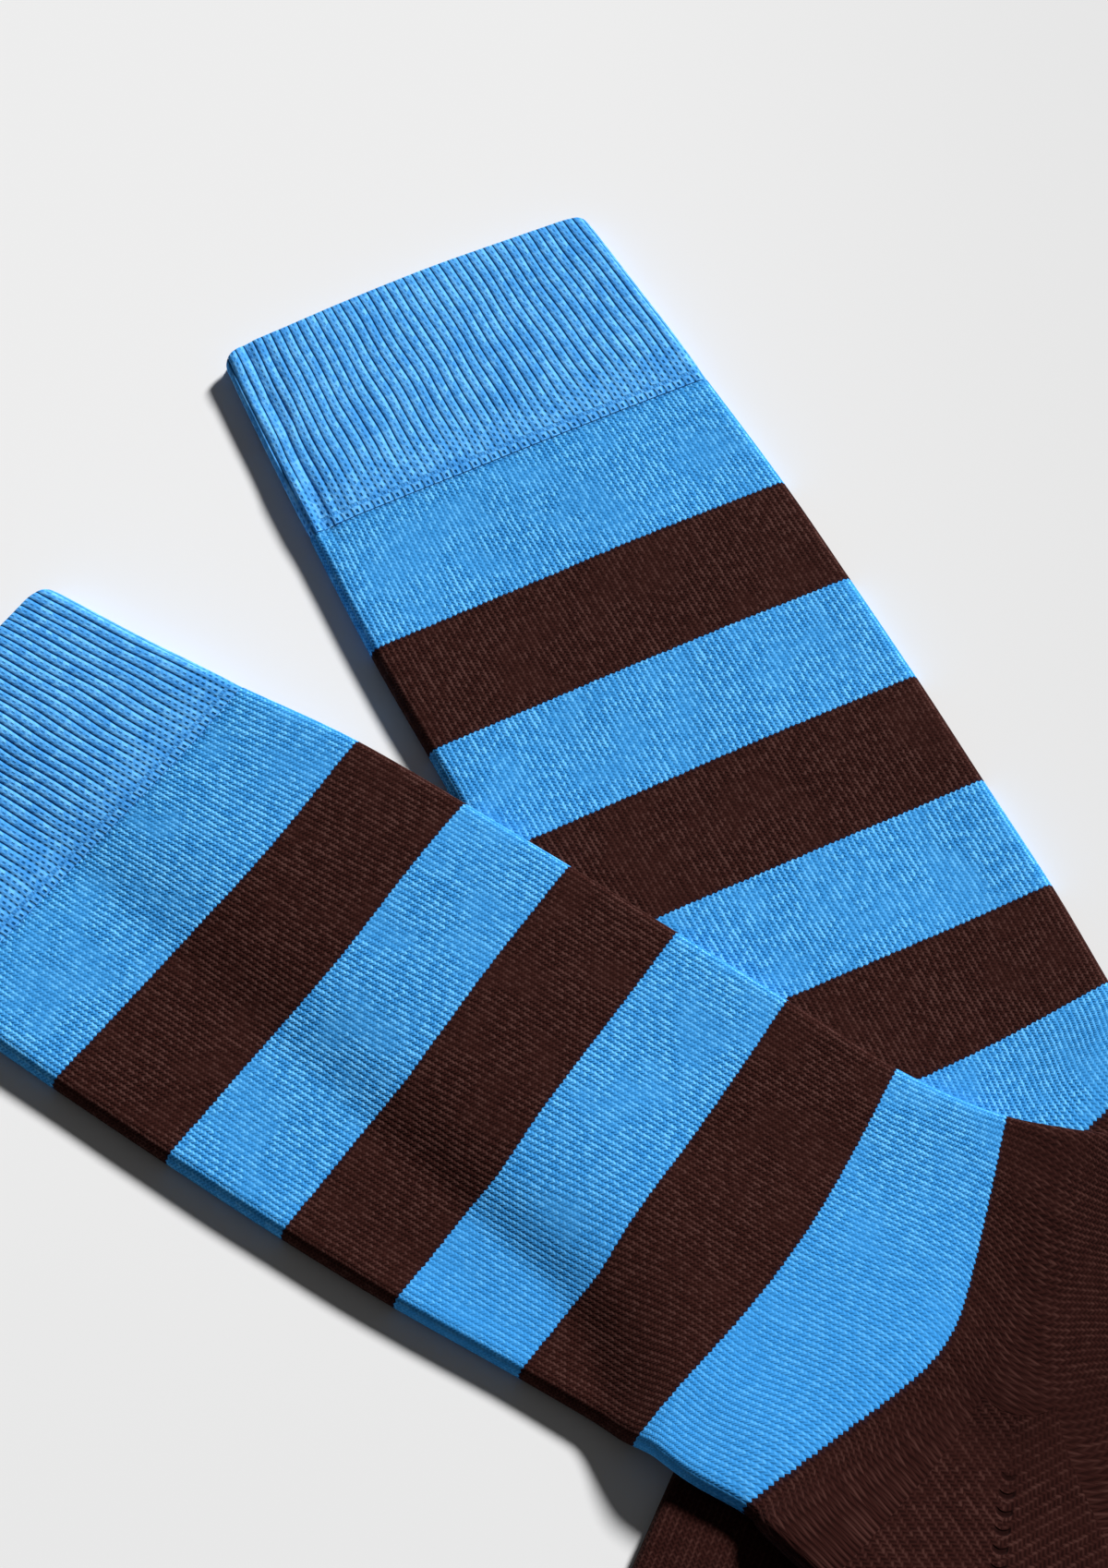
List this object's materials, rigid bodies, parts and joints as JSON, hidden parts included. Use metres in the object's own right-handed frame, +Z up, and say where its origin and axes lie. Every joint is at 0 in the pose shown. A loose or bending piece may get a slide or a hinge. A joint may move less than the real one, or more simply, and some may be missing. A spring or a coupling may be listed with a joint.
{
  "type": "pair of crew socks",
  "caption": "Pair of striped mid-calf knitted socks with ribbed cuffs, shaped heels and closed toes, laid flat with one sock crossing over the other.",
  "frame": {"origin": "middle of the pair's footprint, on the surface it lies on", "axes": "+Z up out of the surface, +Y away from the viewer of the picture, +X to the viewer's right"},
  "size_m": [0.4346, 0.4458, 0.0086],
  "materials": {
    "blue_rib_knit": "light blue cotton rib, matt, with dark grooves between the ribs",
    "striped_jersey": "fine cotton jersey in even bands of bright blue and dark brown, matt",
    "brown_jersey": "fine dark brown cotton jersey, matt"
  },
  "bodies": {
    "root": {"upper_sock_cuff": "blue_rib_knit", "upper_sock_leg_and_foot": "striped_jersey", "upper_sock_heel": "brown_jersey", "upper_sock_toe": "brown_jersey", "lower_sock_cuff": "blue_rib_knit", "lower_sock_leg_and_foot": "striped_jersey", "lower_sock_heel": "brown_jersey", "lower_sock_toe": "brown_jersey"}
  },
  "joints": []
}
